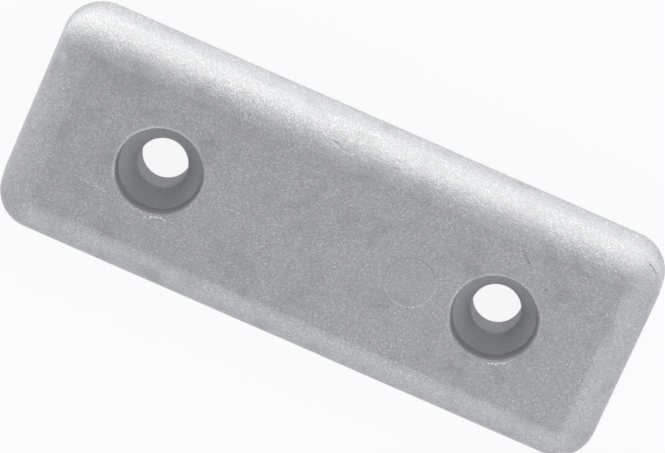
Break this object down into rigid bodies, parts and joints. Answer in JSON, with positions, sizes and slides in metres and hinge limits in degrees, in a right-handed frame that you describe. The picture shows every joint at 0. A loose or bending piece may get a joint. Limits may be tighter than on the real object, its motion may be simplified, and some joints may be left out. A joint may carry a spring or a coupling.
{
  "type": "sacrificial anode",
  "caption": "Bar-shaped cast zinc anode with rounded edges, drafted walls and recessed countersunk bolt holes, bolted under water to a boat so that it corrodes in place of other metal.",
  "frame": {"origin": "centre of the flat back face, which is bolted down", "axes": "+X along the bar and its row of holes, +Y across it, +Z out of the exposed face"},
  "size_m": [0.137, 0.0508, 0.0159],
  "materials": {
    "cast_zinc": "satin, as cast, fine sandy grain"
  },
  "bodies": {
    "root": {"anode_casting": "cast_zinc"}
  },
  "joints": []
}
